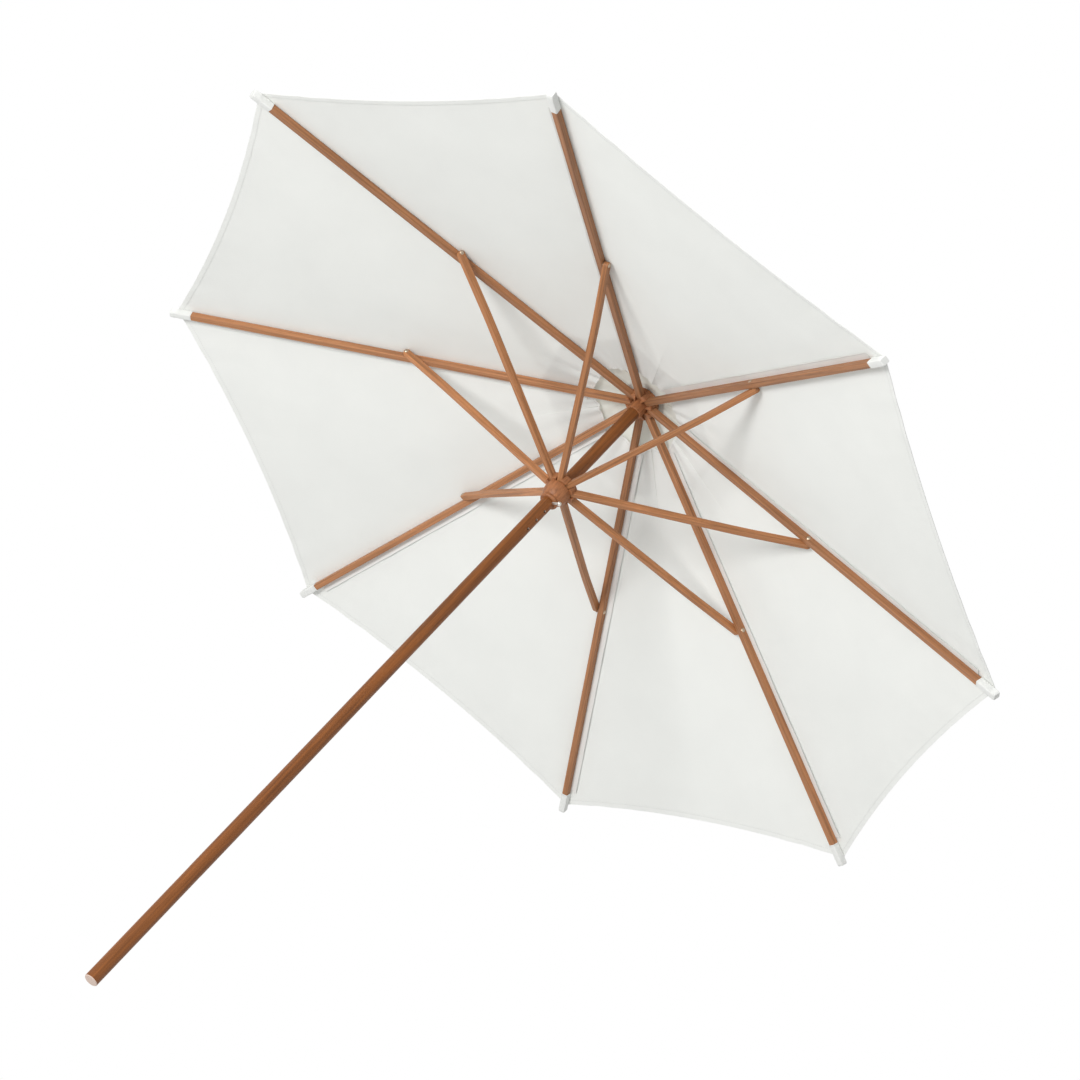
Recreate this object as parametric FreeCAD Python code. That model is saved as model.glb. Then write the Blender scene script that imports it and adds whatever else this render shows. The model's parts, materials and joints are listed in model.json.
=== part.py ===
"""Wooden patio umbrella, 2.7 m across: pole, crown hub, runner, eight ribs with struts, canopy and pin.

Frame: the pole stands on +Z and the centre of its lower end is the origin. Rib 1 lies over +X.
Each rib folds down about a pin in the hub, and its strut ties it to the runner that slides on the pole.
"""
import FreeCAD, Part
import math
import os

Vector = FreeCAD.Vector
UP = Vector(0, 0, 1)
SIDEWAYS = Vector(0, 1, 0)
ALONG = Vector(1, 0, 0)

# Driving dimensions in millimetres and degrees.
rib_count = 8
open_slope = 17.5             # every rib below the horizontal when the umbrella is open
hub_pivot_height = 2425.0     # rib pivots above the pole's lower end
rib_reach = 1400.0            # rib pivot to the outer end of the tip pocket
rib_width = 18.0
rib_depth = 20.0
joint_distance = 672.0        # rib pivot to strut joint, and strut pivot to pivot
strut_width = 16.0
strut_depth = 20.0
edge_radius = 2.0             # eased long edges of ribs and struts
pole_diameter = 38.0
foot_ease = 0.5               # the foot is this much thinner, so that it slides into a sleeve
foot_length = 400.0
end_chamfer = 1.5

hub_core = 3.7                # wood between the pole and the floor of a slot
pivot_end_clearance = 1.3     # a rib's or strut's round inner end to the floor of its slot
tooth_beyond = 12.0           # teeth of hub and runner outside the pivots
tooth_cover = 4.0             # teeth below and above the edges of what turns in them
hub_disc_thickness = 15.5
hub_collar_height = 26.0
runner_body = 51.5            # the runner below its teeth
runner_lip_wall = 8.0         # the rounded lip at the runner's lower end
runner_lip_height = 11.0
tooth_jut = 8.0               # the runner's teeth stand out from its bell by this much
slot_clearance = 0.4          # rib or strut to each wall of its slot, at a straight piece
strut_slot_clearance = 0.8    # more, because a strut leaves its slot slightly askew
slide_clearance = 0.4         # runner bore to pole
socket_clearance = 0.1        # fixed pieces in their holes

pivot_pin_diameter = 4.0
pivot_pin_seat = 3.6          # each end of a pivot pin in its tooth
pivot_pins_apart = 0.2        # a pivot pin to the plane midway to its neighbour
rivet_diameter = 6.0
rivet_head_diameter = 13.0
rivet_head_height = 2.5
washer_diameter = 16.0
washer_thickness = 1.4
washer_gap = 1.5              # rib face to strut face
hinge_clearance = 0.1         # hole to pin, on the radius

pin_seat = 1.35               # the locking pin's axis below the runner's lower end
pin_hole_pitch = 40.0
pin_hole_count = 4
pin_diameter = 7.5
pin_through = 8.0             # the pin's tail beyond the pole
pin_out = 23.0                # the ball's centre from the pole
pin_head_diameter = 13.0
pin_azimuth = 292.5           # midway between two ribs, so the pulled pin passes them
pin_clearance = 0.4

strut_end_set_back = 2.6      # the round upper end's centre, before the joint, under the cloth
strut_bend = 480.0            # from the runner pivot to the strut's gentle bend
strut_bend_radius = 2500.0

fabric = 1.2                  # thickness of the cloth
fabric_gap = 0.3              # cloth to what carries it
panel_gap = 0.5               # cloth to the plane midway between two ribs
corner_set_back = 18.0        # the cloth's corner to the outer end of the tip pocket
edge_sag = 22.0               # hollow of the edge between two corners
vent_corner = 147.0           # vent opening, from the axis, over a rib
vent_middle = 136.0           # vent opening, from the axis, between two ribs
pocket_length = 66.0
pocket_cloth = 1.0
cap_reach = 300.0             # vent cap, from the axis, over a rib
cap_inner = 20.0
patch_overhang = 18.0         # crown patch beyond the hub
patch_lift = 4.5              # crown patch above the hub, which leaves room for the folding cap
patch_drop = 7.0              # turned-down edge of the crown patch

finial_height = 92.0
finial_radius = 21.0
stud_diameter = 8.0
stud_in_pole = 40.0
stud_in_finial = 55.0
dowel_diameter = 6.0

# Sizes that follow.
slope = math.radians(open_slope)
step = 360.0 / rib_count
half_step = math.radians(step / 2)
pole_radius = pole_diameter / 2
foot_diameter = pole_diameter - foot_ease
fabric_reach = rib_reach - corner_set_back
pivot_slot = max(rib_width + 2 * slot_clearance, strut_width + 2 * strut_slot_clearance)
pivot_pin_length = pivot_slot + 2 * pivot_pin_seat
# The slots stop where the teeth between them still meet the core.
slot_root = max(pole_radius + hub_core, pivot_slot / 2 / math.tan(half_step))
# The pivots stand far enough out for the round ends in their slots and for neighbouring pins.
pivot_radius_by_depth = slot_root + pivot_end_clearance + max(rib_depth, strut_depth) / 2
pin_side = pivot_pin_length / 2 * math.cos(half_step) + pivot_pins_apart
pivot_radius_by_pins = pin_side / math.sin(half_step) + pivot_pin_diameter / 2
pivot_radius = max(pivot_radius_by_depth, pivot_radius_by_pins)
hub_radius = pivot_radius + tooth_beyond
hub_tooth_below = rib_depth / 2 + tooth_cover
runner_radius = pivot_radius + tooth_beyond
runner_tooth_half = strut_depth / 2 + tooth_cover
runner_below = runner_tooth_half + runner_body
runner_lip_radius = pole_radius + runner_lip_wall
runner_bell_radius = runner_radius - tooth_jut
patch_radius = hub_radius + patch_overhang
hub_disc_under = rib_depth / 2 + slot_clearance
hub_top = hub_pivot_height + hub_disc_under + hub_disc_thickness
pole_length = hub_pivot_height + hub_disc_under + hub_disc_thickness / 2
runner_pivot_height = hub_pivot_height - 2 * joint_distance * math.sin(slope)
pin_height = runner_pivot_height - runner_below - pin_seat      # uppermost hole of the pole
pin_tail = pole_radius + pin_through
pin_head_distance = pole_radius + pin_out
strut_offset = rib_width / 2 + washer_gap + strut_width / 2
collar_radius = slot_root + 0.8
patch_under = hub_top + patch_lift
# The cloth's planes drop to both sides of a rib, so their ridge stands this far above its pivots:
# clear of the rib's edges and of the strut's round end beside it.
side_fall = math.tan(slope) * math.tan(half_step)
side_drop = rib_width / 2 * side_fall
strut_end_top = strut_depth / 2 - strut_end_set_back * math.sin(2 * slope)
ridge_over_rib = rib_depth / 2 + side_drop
ridge_over_strut = strut_end_top + (strut_offset + strut_width / 2) * side_fall
ridge = max(ridge_over_rib, ridge_over_strut) + fabric_gap


def cylinder(radius, height, base, direction=UP):
    return Part.makeCylinder(radius, height, base, direction)


def across(radius, half_length, x, z):
    """A round bar or hole across a rib or strut, about the point (x, z) of its side view."""
    return cylinder(radius, 2 * half_length, Vector(x, -half_length, z), SIDEWAYS)


def turned(points):
    """A solid turned about +Z from (radius, height) points; a third value makes that step an arc
    whose middle stands off the chord by that much, to the left of the way it runs."""
    edges = []
    for start, end in zip(points, points[1:] + points[:1]):
        first = Vector(start[0], 0, start[1])
        last = Vector(end[0], 0, end[1])
        if len(end) == 3:
            chord = last - first
            chord.normalize()
            left = Vector(-chord.z, 0, chord.x)
            middle = (first + last) * 0.5 + left * end[2]
            edges.append(Part.Arc(first, middle, last).toShape())
        else:
            edges.append(Part.LineSegment(first, last).toShape())
    face = Part.Face(Part.Wire(edges))
    return face.revolve(Vector(0, 0, 0), UP, 360)


def around(shape, index):
    """The shape of rib 1, turned to rib number index + 1."""
    copy = shape.copy()
    copy.rotate(Vector(0, 0, 0), UP, index * step)
    return copy


def ring_of(shape):
    return [around(shape, index) for index in range(rib_count)]


def radial_slots(width, low, high):
    """Slots that run outwards from slot_root, one for each rib."""
    slot = Part.makeBox(hub_radius, width, high - low, Vector(slot_root, -width / 2, low))
    return ring_of(slot)


def on_open_rib(shape):
    """Places a shape drawn along +X from the rib's pivot, +Z away from the pole, on the open rib."""
    placed = shape.copy()
    placed.rotate(Vector(0, 0, 0), SIDEWAYS, open_slope)
    placed.translate(Vector(pivot_radius, 0, hub_pivot_height))
    return placed


def eased(shape, shortest):
    """Rounds the long edges of a bar."""
    edges = [edge for edge in shape.Edges if edge.Length > shortest]
    return shape.makeFillet(edge_radius, edges)


def pole():
    foot = foot_diameter / 2
    body = turned([
        (0, 0),
        (foot - end_chamfer, 0),
        (foot, end_chamfer),
        (foot, foot_length),
        (pole_radius, foot_length + 2),
        (pole_radius, pole_length - end_chamfer),
        (pole_radius - end_chamfer, pole_length),
        (0, pole_length),
    ])
    outwards = Vector(math.cos(math.radians(pin_azimuth)), math.sin(math.radians(pin_azimuth)), 0)
    cuts = []
    for number in range(pin_hole_count):
        start = outwards * -hub_radius + UP * (pin_height - number * pin_hole_pitch)
        cuts.append(cylinder(pin_diameter / 2 + pin_clearance, 2 * hub_radius, start, outwards))
    cuts.append(hub_dowel(hub_radius, socket_clearance))
    stud_hole = stud_diameter / 2 + socket_clearance
    cuts.append(cylinder(stud_hole, stud_in_pole + 1, Vector(0, 0, pole_length - stud_in_pole - 1)))
    return body.cut(cuts)


def hub_dowel(reach, extra=0.0):
    """The dowel that fixes the hub's collar on the pole, between two ribs."""
    middle = hub_pivot_height - hub_tooth_below - hub_collar_height / 2
    dowel = cylinder(dowel_diameter / 2 + extra, 2 * reach, Vector(-reach, 0, middle), ALONG)
    dowel.rotate(Vector(0, 0, 0), UP, step / 2)
    return dowel


def hub():
    pivot = hub_pivot_height
    teeth = pivot - hub_tooth_below
    low = teeth - hub_collar_height
    bore = pole_radius + socket_clearance
    disc = pivot + hub_disc_under
    body = turned([
        (bore, low),
        (collar_radius - 2, low),
        (collar_radius, low + 4, -1),
        (collar_radius, teeth - 3),
        (hub_radius - 5, teeth),
        (hub_radius, teeth + 5, -1.5),
        (hub_radius, disc),
        (hub_radius + 1, disc + 2, -0.6),
        (hub_radius + 1, hub_top - 5),
        (hub_radius - 4, hub_top, -1.5),
        (stud_diameter / 2 + socket_clearance, hub_top),
        (stud_diameter / 2 + socket_clearance, pole_length + socket_clearance),
        (bore, pole_length + socket_clearance),
    ])
    slots = radial_slots(rib_width + 2 * slot_clearance, low - 1, disc)
    pins = ring_of(pivot_pin(hub_pivot_height, hinge_clearance))
    return body.cut(slots + pins + [hub_dowel(hub_radius, socket_clearance)])


def pivot_pin(height, extra=0.0):
    """The short pin that a rib or a strut turns on, held in the teeth to both sides of its slot."""
    half = pivot_pin_length / 2 + extra
    return across(pivot_pin_diameter / 2 + extra, half, pivot_radius, height)


def runner():
    pivot = runner_pivot_height
    floor = pivot - runner_tooth_half
    top = pivot + runner_tooth_half
    low = pivot - runner_below
    bore = pole_radius + slide_clearance
    lip = runner_lip_radius
    bell = runner_bell_radius
    shoulder = low + runner_lip_height
    body = turned([
        (bore, low),
        (lip - 2, low),
        (lip - 1, shoulder - 1, -2.4),
        (lip - 2, shoulder + 1),
        (bell, floor - 4, -4),
        (bell, floor + 1),
        (runner_radius - 1.5, floor + 1),
        (runner_radius, floor + 2.5, -0.4),
        (runner_radius, top - 3),
        (runner_radius - 3, top, -0.9),
        (bore, top),
    ])
    slots = radial_slots(strut_width + 2 * strut_slot_clearance, floor + 1, top + 1)
    pins = ring_of(pivot_pin(runner_pivot_height, hinge_clearance))
    return body.cut(slots + pins + [pin_notch()])


def pin_notch():
    """The round notch across the runner's lower end, which rests on the locking pin."""
    notch = across(pin_diameter / 2 + fabric_gap, hub_radius, 0, pin_height)
    notch.rotate(Vector(0, 0, 0), UP, pin_azimuth - 90)
    return notch


def locking_pin():
    """A straight metal pin with a round nose and a ball to pull it by, lying along its azimuth."""
    radius = pin_diameter / 2
    head = pin_head_diameter / 2
    shank = cylinder(radius, pin_tail + pin_head_distance - 3, Vector(-pin_tail + 3, 0, pin_height), ALONG)
    nose = Part.makeCone(radius - 1.5, radius, 3, Vector(-pin_tail, 0, pin_height), ALONG)
    ball = Part.makeSphere(head, Vector(pin_head_distance, 0, pin_height))
    pin = shank.fuse([nose, ball]).removeSplitter()
    pin.rotate(Vector(0, 0, 0), UP, pin_azimuth)
    return pin


def rib():
    half = rib_depth / 2
    length = rib_reach - pocket_cloth - 2 * fabric_gap
    bar = Part.makeBox(length, rib_width, rib_depth, Vector(0, -rib_width / 2, -half))
    bar = bar.fuse(across(half, rib_width / 2, 0, 0)).removeSplitter()
    bar = eased(bar, joint_distance)
    pivot_hole = across(pivot_pin_diameter / 2 + hinge_clearance, rib_width, 0, 0)
    joint_hole = across(rivet_diameter / 2 + hinge_clearance, rib_width, joint_distance, 0)
    return on_open_rib(bar.cut([pivot_hole, joint_hole]))


def strut_outline():
    """The strut from above, along +X from its runner pivot: straight, one gentle bend, straight."""
    overrun = strut_depth
    turn = math.atan2(strut_offset, strut_bend)
    tangent = strut_bend_radius * math.tan(turn / 2)
    first = Vector(math.cos(turn), math.sin(turn), 0)
    first_left = Vector(-math.sin(turn), math.cos(turn), 0)
    mean_left = Vector(-math.sin(turn / 2), math.cos(turn / 2), 0)
    corner = Vector(strut_bend, strut_offset, 0)
    centre = corner + ALONG * tangent - SIDEWAYS * strut_bend_radius
    sides = []
    for side in (strut_width / 2, -strut_width / 2):
        start = first * -overrun + first_left * side
        bend_start = corner - first * tangent + first_left * side
        bend_middle = centre + mean_left * (strut_bend_radius + side)
        bend_end = corner + ALONG * tangent + SIDEWAYS * side
        end = Vector(joint_distance + overrun, strut_offset + side, 0)
        sides.append((start, bend_start, bend_middle, bend_end, end))
    edges = []
    for start, bend_start, bend_middle, bend_end, end in sides:
        edges.append(Part.LineSegment(start, bend_start).toShape())
        edges.append(Part.Arc(bend_start, bend_middle, bend_end).toShape())
        edges.append(Part.LineSegment(bend_end, end).toShape())
    edges.append(Part.LineSegment(sides[0][0], sides[1][0]).toShape())
    edges.append(Part.LineSegment(sides[0][4], sides[1][4]).toShape())
    return Part.Face(Part.Wire(Part.__sortEdges__(edges)))


def strut():
    half = strut_depth / 2
    plan = strut_outline().extrude(UP * (4 * half))
    plan.translate(UP * (-2 * half))
    wide = strut_offset + strut_width
    length = joint_distance - strut_end_set_back
    side = Part.makeBox(length, 2 * wide, strut_depth, Vector(0, -wide, -half))
    side = side.fuse([across(half, wide, 0, 0), across(half, wide, length, 0)])
    bar = plan.common(side.removeSplitter()).removeSplitter()
    bar = eased(bar, strut_depth * 4)
    pivot_hole = across(pivot_pin_diameter / 2 + hinge_clearance, wide, 0, 0)
    joint_hole = across(rivet_diameter / 2 + hinge_clearance, wide * 2, joint_distance, 0)
    bar = bar.cut([pivot_hole, joint_hole])
    bar.rotate(Vector(0, 0, 0), SIDEWAYS, -open_slope)
    bar.translate(Vector(pivot_radius, 0, runner_pivot_height))
    return bar


def joint_rivet():
    """The domed rivet of a strut joint and the washer that keeps strut and rib apart."""
    rib_face = rib_width / 2
    strut_face = rib_face + washer_gap + strut_width
    seat = socket_clearance
    radius = rivet_diameter / 2
    head = rivet_head_diameter / 2
    grip = cylinder(radius, strut_face + rib_face + 2 * seat, Vector(0, -rib_face - seat, 0), SIDEWAYS)
    crown = rivet_head_height
    dome = turned([(0, 0), (head, 0), (1, crown, -crown / 3), (0, crown)])
    far_head = dome.copy()
    far_head.rotate(Vector(0, 0, 0), ALONG, -90)
    far_head.translate(SIDEWAYS * (strut_face + seat))
    near_head = dome.copy()
    near_head.rotate(Vector(0, 0, 0), ALONG, 90)
    near_head.translate(SIDEWAYS * (-rib_face - seat))
    rivet = grip.fuse([far_head, near_head])
    base = Vector(0, rib_face + (washer_gap - washer_thickness) / 2, 0)
    washer = cylinder(washer_diameter / 2, washer_thickness, base, SIDEWAYS)
    washer = washer.cut(cylinder(radius + hinge_clearance, 2 * rib_width, Vector(0, 0, 0), SIDEWAYS))
    pieces = Part.makeCompound([rivet, washer])
    pieces.translate(ALONG * joint_distance)
    return on_open_rib(pieces)


def cloth_height(distance, above):
    """Height of the cloth's lower face over a rib, this far from the axis, above the rib's ridge."""
    fall = (distance - pivot_radius) * math.tan(slope)
    return hub_pivot_height + (ridge + above) / math.cos(slope) - fall


def half_sheet(profile, outline):
    """The half of a rib's cloth on its +Y side: flat facets square to the direction midway between
    two ribs, whose profile is (distance over a rib, height), trimmed to the outline in plan."""
    shrink = math.cos(half_step)
    points = [Vector(distance * shrink, -rib_reach, height) for distance, height in profile]
    facet = Part.Face(Part.makePolygon(points + points[:1])).extrude(SIDEWAYS * (2 * rib_reach))
    facet.rotate(Vector(0, 0, 0), UP, step / 2)
    column = outline.extrude(UP * (hub_top * 2))
    return facet.common(column)


def whole_sheet(half):
    """Both halves of the cloth over one rib, as one solid."""
    other = half.mirror(Vector(0, 0, 0), SIDEWAYS)
    return half.fuse(other).removeSplitter()


def gore_outline(inner_corner, inner_middle, outer_corner, outer_middle, hollow):
    """Half a rib's sector in plan. The middle points lie panel_gap inside the plane between ribs;
    a hollow outer edge is part of the circle through both corners of the gore."""
    mean = Vector(math.cos(half_step), math.sin(half_step), 0)
    inset = Vector(math.sin(half_step), -math.cos(half_step), 0) * panel_gap
    inner_rib = ALONG * inner_corner
    outer_rib = ALONG * outer_corner
    inner_mid = mean * inner_middle + inset
    outer_mid = mean * outer_middle + inset
    edges = [
        Part.LineSegment(outer_mid, inner_mid).toShape(),
        Part.LineSegment(inner_mid, inner_rib).toShape(),
        Part.LineSegment(inner_rib, outer_rib).toShape(),
    ]
    if hollow:
        half_chord = outer_corner * math.sin(half_step)
        curve = (half_chord ** 2 + hollow ** 2) / (2 * hollow)
        centre = mean * (outer_middle + curve)
        quarter = half_chord / 2
        depth = math.sqrt(curve ** 2 - quarter ** 2)
        along_edge = Vector(math.sin(half_step), -math.cos(half_step), 0)
        between = centre - mean * depth + along_edge * quarter
        edges.append(Part.Arc(outer_rib, between, outer_mid).toShape())
    else:
        edges.append(Part.LineSegment(outer_rib, outer_mid).toShape())
    return Part.Face(Part.Wire(edges))


def canopy_panel():
    shrink = math.cos(half_step)
    corner = pivot_radius + fabric_reach * math.cos(slope)
    outline = gore_outline(vent_corner, vent_middle, corner, corner * shrink - edge_sag, edge_sag)
    near = vent_middle / 2
    far = corner * 1.1
    profile = [
        (near, cloth_height(near, 0)),
        (far, cloth_height(far, 0)),
        (far, cloth_height(far, fabric)),
        (near, cloth_height(near, fabric)),
    ]
    return whole_sheet(half_sheet(profile, outline))


def cap_panel():
    """Vent cap over one rib: flat on the hub, then sloping down on to the canopy."""
    rim = hub_radius + 3
    shrink = math.cos(half_step)
    top = hub_top + fabric_gap
    low = cloth_height(cap_reach, fabric + fabric_gap)
    thick = fabric / math.cos(slope)
    outline = gore_outline(cap_inner / shrink, cap_inner, cap_reach, cap_reach * shrink - 3, 3)
    profile = [
        (cap_inner / 2, top),
        (rim, top),
        (cap_reach, low),
        (cap_reach, low + thick),
        (rim, top + fabric),
        (cap_inner / 2, top + fabric),
    ]
    return whole_sheet(half_sheet(profile, outline))


def tip_pocket():
    """Cloth pocket round a rib's end: open towards the pole and, under the canopy, at the top."""
    start = rib_reach - pocket_length
    inside_width = rib_width + 2 * fabric_gap
    inside_low = -rib_depth / 2 - fabric_gap
    inside_high = rib_depth / 2 + fabric_gap
    low = inside_low - pocket_cloth
    width = inside_width + 2 * pocket_cloth
    high = inside_high + pocket_cloth
    inside_length = pocket_length - pocket_cloth
    sleeve = Part.makeBox(pocket_length, width, high - low, Vector(start, -width / 2, low))
    room_base = Vector(start - 1, -inside_width / 2, inside_low)
    room = Part.makeBox(inside_length + 1, inside_width, inside_high - inside_low, room_base)
    under_canopy = fabric_reach + fabric_gap - start
    brim = inside_high - fabric_gap - side_drop
    mouth = Part.makeBox(under_canopy + 1, width + 2, high, Vector(start - 1, -width / 2 - 1, brim))
    return on_open_rib(sleeve.cut([room, mouth]))


def crown_patch():
    """Round reinforcement of the vent cap, clamped under the finial over the hub's top."""
    hole = stud_diameter / 2 + fabric_gap
    edge = patch_radius
    brow = edge - 10
    low = patch_under - patch_drop
    return turned([
        (hole, patch_under),
        (brow, patch_under - 1),
        (edge - 1, low, 1.5),
        (edge + 0.5, low),
        (brow + 0.5, patch_under + fabric - 1, -1.5),
        (hole, patch_under + fabric),
    ])


def crown_spacer():
    """Wooden washer between hub and crown patch, inside the vent cap's inner edge."""
    hole = stud_diameter / 2 + socket_clearance
    edge = cap_inner - 3
    return turned([
        (hole, hub_top),
        (edge, hub_top),
        (edge, patch_under - fabric_gap),
        (hole, patch_under - fabric_gap),
    ])


def finial():
    base = patch_under + fabric + fabric_gap
    hole = stud_diameter / 2 + socket_clearance
    stud_end = stud_in_finial + socket_clearance
    wide = finial_radius
    top = base + finial_height
    return turned([
        (hole, base),
        (wide - 1, base),
        (wide, base + 6, -1.5),
        (wide - 9, base + 16, 2),
        (wide - 10, base + 30),
        (wide - 5, base + 33, -0.8),
        (wide - 5, base + 37, -1.6),
        (wide - 9, base + 40),
        (wide - 4, base + 64, -7),
        (wide - 15, base + 82, -4),
        (1, top, -2),
        (0, top),
        (0, base + stud_end),
        (hole, base + stud_end),
    ])


def finial_stud():
    """The stud that draws the finial down on the cap and into the pole's upper end."""
    low = pole_length - stud_in_pole
    high = patch_under + fabric + stud_in_finial
    return cylinder(stud_diameter / 2, high - low, Vector(0, 0, low))


def write(name, shape):
    shape.exportStep("parts/" + name + ".step")


def main():
    os.makedirs("parts", exist_ok=True)
    single = {
        "pole": pole,
        "hub": hub,
        "runner": runner,
        "locking_pin": locking_pin,
        "crown_spacer": crown_spacer,
        "crown_patch": crown_patch,
        "finial_stud": finial_stud,
        "finial": finial,
    }
    for name, make in single.items():
        write(name, make())
    write("hub_dowel", hub_dowel(collar_radius - 0.3))
    write("hub_pins", Part.makeCompound(ring_of(pivot_pin(hub_pivot_height))))
    write("runner_pins", Part.makeCompound(ring_of(pivot_pin(runner_pivot_height))))
    repeated = {
        "rib": rib,
        "strut": strut,
        "joint_rivet": joint_rivet,
        "tip_pocket": tip_pocket,
        "canopy_panel": canopy_panel,
        "cap_panel": cap_panel,
    }
    for name, make in repeated.items():
        for index, shape in enumerate(ring_of(make())):
            write(f"{name}_{index + 1}", shape)


main()
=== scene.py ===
"""Finishes and soft goods for the wooden patio umbrella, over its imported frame.

Lengths are metres in the frame's own axes: +Z up the pole, rib 1 over +X. A rib's own axes are
out along the rib, across it, and away from its upper face.
"""
import json
import math

import bpy
from mathutils import Matrix, Vector


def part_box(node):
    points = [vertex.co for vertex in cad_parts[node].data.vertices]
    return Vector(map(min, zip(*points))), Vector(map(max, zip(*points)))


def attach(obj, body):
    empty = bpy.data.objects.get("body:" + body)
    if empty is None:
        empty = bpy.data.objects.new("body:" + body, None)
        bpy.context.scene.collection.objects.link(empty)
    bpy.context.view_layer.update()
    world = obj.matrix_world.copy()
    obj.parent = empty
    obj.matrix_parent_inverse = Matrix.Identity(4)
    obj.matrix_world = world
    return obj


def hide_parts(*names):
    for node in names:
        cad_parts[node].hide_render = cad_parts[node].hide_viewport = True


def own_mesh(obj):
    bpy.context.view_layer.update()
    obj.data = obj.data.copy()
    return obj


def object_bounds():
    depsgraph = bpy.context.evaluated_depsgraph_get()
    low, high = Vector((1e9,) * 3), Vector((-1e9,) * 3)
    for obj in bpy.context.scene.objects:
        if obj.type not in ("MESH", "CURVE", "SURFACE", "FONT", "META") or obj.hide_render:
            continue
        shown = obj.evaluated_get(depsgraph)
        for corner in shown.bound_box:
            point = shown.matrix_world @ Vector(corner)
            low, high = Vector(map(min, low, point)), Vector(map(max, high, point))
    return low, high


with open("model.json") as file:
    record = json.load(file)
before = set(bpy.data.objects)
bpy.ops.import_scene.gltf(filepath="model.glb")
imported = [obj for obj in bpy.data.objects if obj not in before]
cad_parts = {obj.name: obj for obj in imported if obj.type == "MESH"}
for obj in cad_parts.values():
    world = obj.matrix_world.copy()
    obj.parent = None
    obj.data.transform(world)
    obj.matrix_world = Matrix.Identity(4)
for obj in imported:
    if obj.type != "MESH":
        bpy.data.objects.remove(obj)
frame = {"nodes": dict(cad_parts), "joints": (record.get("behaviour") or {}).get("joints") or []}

bl_info = {
    "name": "Patio Umbrella",
    "version": (1, 0, 0),
    "blender": (4, 5, 0),
    "location": "View3D > Sidebar > Umbrella",
    "description": "Dresses a wooden patio umbrella in oiled wood, zinc and sewn white cloth",
    "category": "Object",
}

MM = 0.001
CAD_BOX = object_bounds()
JOINTS = {joint["name"]: joint for joint in frame["joints"]}
NODES = frame["nodes"]
RIBS = sum(1 for name in JOINTS if name.startswith("rib_"))
HALF_STEP = math.pi / RIBS
MIDWAY = Vector((math.cos(HALF_STEP), math.sin(HALF_STEP), 0))
PIVOT = Vector(JOINTS["rib_1_fold"]["pos_m"])
STRUT_JOINT = Vector(JOINTS["strut_1_fold"]["pos_m"])
SLOPE = math.atan2(PIVOT.z - STRUT_JOINT.z, STRUT_JOINT.x - PIVOT.x)
POLE_RADIUS = (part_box("pole")[1].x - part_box("pole")[0].x) / 2
HUB_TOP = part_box("hub")[1].z
HUB_RADIUS = (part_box("hub")[1].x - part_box("hub")[0].x) / 2
RIB_TIP = (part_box("tip_pocket_1")[1].x - PIVOT.x) / math.cos(SLOPE)
# The Scale of a wave texture is this over its period in metres.
WAVE = math.tau / 20


def size(name, default, description):
    """A length that a user may change."""
    return bpy.props.FloatProperty(
        name=name, description=description, default=default, min=0.0, unit="LENGTH", precision=4)


def amount(name, default, description):
    """A plain number that a user may change."""
    return bpy.props.FloatProperty(name=name, description=description, default=default, min=0.0)


def colour(name, default, description):
    """A colour as an sRGB hex value."""
    return bpy.props.StringProperty(name=name, description=description, default=default)


class UmbrellaCloth(bpy.types.PropertyGroup):
    """Sizes and colours of the canopy, vent cap, patch and pockets"""
    thickness: size("Cloth", 1.2 * MM, "Thickness of the canopy cloth")
    hem_extra: size("Hem thickness", 0.9 * MM, "What the turned hem adds to the cloth")
    hem: size("Hem", 16 * MM, "Width of the canopy's turned outer hem")
    vent_hem: size("Vent hem", 9 * MM, "Width of the hem round the vent")
    rib_depth: size("Rib depth", 20 * MM, "Depth of the rib ends that the pockets go over")
    ridge: size("Ridge", 12.3 * MM, "Cloth above the line of the rib pivots")
    over_rib: size("Drape over rib", 12 * MM, "How softly the cloth turns over a rib")
    reach: size("Corner", 1391 * MM, "Rib pivot to the cloth's corner")
    sag: size("Edge hollow", 30 * MM, "Hollow of the edge between two corners")
    belly: size("Gore hollow", 9 * MM, "How far a gore dips between its ribs")
    vent_corner: size("Vent at a rib", 147 * MM, "Vent opening from the axis, over a rib")
    vent_middle: size("Vent between ribs", 136 * MM, "Vent opening from the axis, between ribs")
    flap: size("Seam flap", 24 * MM, "Width of the free seam allowance beside each rib")
    flap_drop: size("Flap drop", 3.5 * MM, "How far the flap's free edge hangs below the canopy")
    stitch: size("Stitch", 6 * MM, "Stitch spacing, drawn coarser than the real 3 mm so that it shows")
    thread: size("Weave", 1.6 * MM, "Thread spacing, drawn coarser than the real 0.5 mm so that it shows")
    canopy_colour: colour("Canopy", "#F4F5F2", "White canopy cloth")
    # The vent cap's cloth is a little grey-green: painted shade for its underside, which lies in shadow
    # over the vent. The crown patch shares this colour.
    cap_colour: colour("Vent cap", "#F0F1EC", "White cloth of the vent cap, a little grey")


class UmbrellaWood(bpy.types.PropertyGroup):
    """Grain and colours of the hardwood"""
    fibre: size("Fibre", 1.1 * MM, "Width of the grain's fibres")
    band: size("Band", 7 * MM, "Width of the colour bands across the grain")
    pore: size("Pore", 9 * MM, "Length of the open pores")
    rib_colour: colour("Ribs", "#A8744E", "Oiled hardwood of the ribs")
    strut_colour: colour("Struts", "#AE764C", "Oiled hardwood of the struts")
    pole_colour: colour("Pole", "#824C20", "Oiled hardwood of the pole")
    turned_colour: colour("Turned parts", "#9C6540", "Oiled hardwood of hub and runner")
    ring: size("Growth ring", 2.6 * MM, "Spacing of the growth rings on end grain")
    end_colour: colour("End grain", "#D9C3B5", "Unoiled end grain of the pole's foot")


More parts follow.
